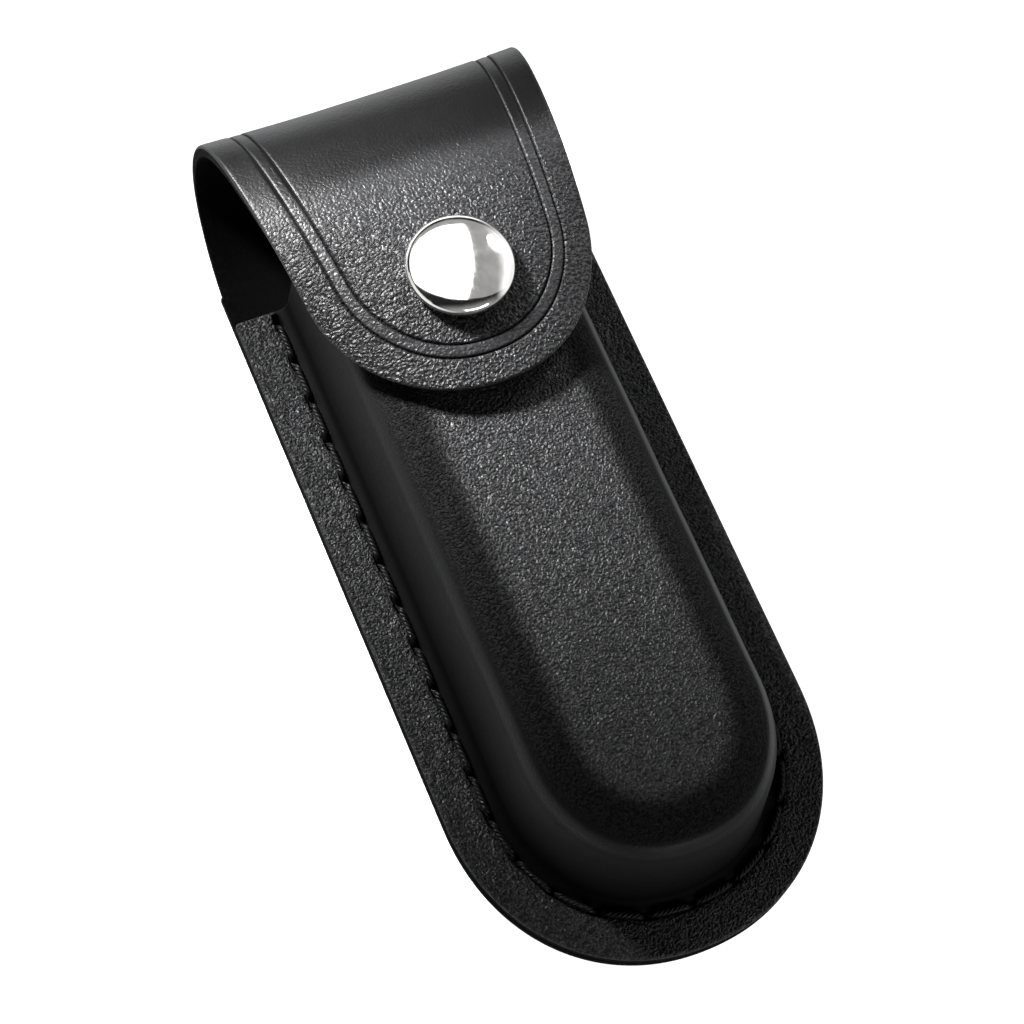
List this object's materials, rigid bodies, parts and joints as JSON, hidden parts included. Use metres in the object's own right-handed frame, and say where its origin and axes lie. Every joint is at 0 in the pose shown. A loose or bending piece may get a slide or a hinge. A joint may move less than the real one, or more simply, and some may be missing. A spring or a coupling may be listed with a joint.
{
  "type": "multi tool belt sheath",
  "caption": "Moulded black leather belt sheath for a folding multi tool, with a stitched box pocket, a fold-over flap closed by a snap, and a belt loop on the back.",
  "frame": {"origin": "centre of the sheath's box, on the outer face of the belt loop that it rests on", "axes": "+Z out of the sheath's front, +Y along its length from the round end to the fold, +X to the right seen from the front"},
  "size_m": [0.0534, 0.1298, 0.0403],
  "materials": {
    "leather": "black, pebbled grain, semi-gloss where moulded, with a matte flesh side",
    "thread": "black twisted waxed sewing thread",
    "nickel": "polished nickel plate",
    "spring": "plain brass wire"
  },
  "bodies": {
    "sheath": {"back_panel": "leather", "front_pocket": "leather", "belt_loop": "leather", "pocket_thread": "thread", "pocket_bobbin_thread": "thread", "loop_upper_thread": "thread", "loop_upper_bobbin_thread": "thread", "loop_lower_thread": "thread", "loop_lower_bobbin_thread": "thread", "snap_stud": "nickel", "snap_post": "nickel"},
    "fold_1": {"fold_segment_1": "leather"},
    "fold_2": {"fold_segment_2": "leather"},
    "fold_3": {"fold_segment_3": "leather"},
    "fold_4": {"fold_segment_4": "leather"},
    "flap": {"flap": "leather", "snap_cap": "nickel", "snap_socket": "nickel", "snap_spring": "spring"}
  },
  "joints": [
    {"name": "fold_bend_1", "type": "hinge", "parent": "sheath", "child": "fold_1", "pos_m": [0, 0.05363, 0.00709], "axis": [-1, 0, 0], "range_deg": [0, 30]},
    {"name": "fold_bend_2", "type": "hinge", "parent": "fold_1", "child": "fold_2", "pos_m": [0, 0.06272, 0.01303], "axis": [-1, 0, 0], "range_deg": [0, 30]},
    {"name": "fold_bend_3", "type": "hinge", "parent": "fold_2", "child": "fold_3", "pos_m": [0, 0.06494, 0.02025], "axis": [-1, 0, 0], "range_deg": [0, 30]},
    {"name": "fold_bend_4", "type": "hinge", "parent": "fold_3", "child": "fold_4", "pos_m": [0, 0.06233, 0.0272], "axis": [-1, 0, 0], "range_deg": [0, 30]},
    {"name": "fold_bend_5", "type": "hinge", "parent": "fold_4", "child": "flap", "pos_m": [0, 0.05014, 0.03401], "axis": [-1, 0, 0], "range_deg": [0, 30]}
  ],
  "couplings": [
    {"joint": "fold_bend_2", "follows": "fold_bend_1", "ratio": 1},
    {"joint": "fold_bend_3", "follows": "fold_bend_1", "ratio": 1},
    {"joint": "fold_bend_4", "follows": "fold_bend_1", "ratio": 1},
    {"joint": "fold_bend_5", "follows": "fold_bend_1", "ratio": 1}
  ]
}
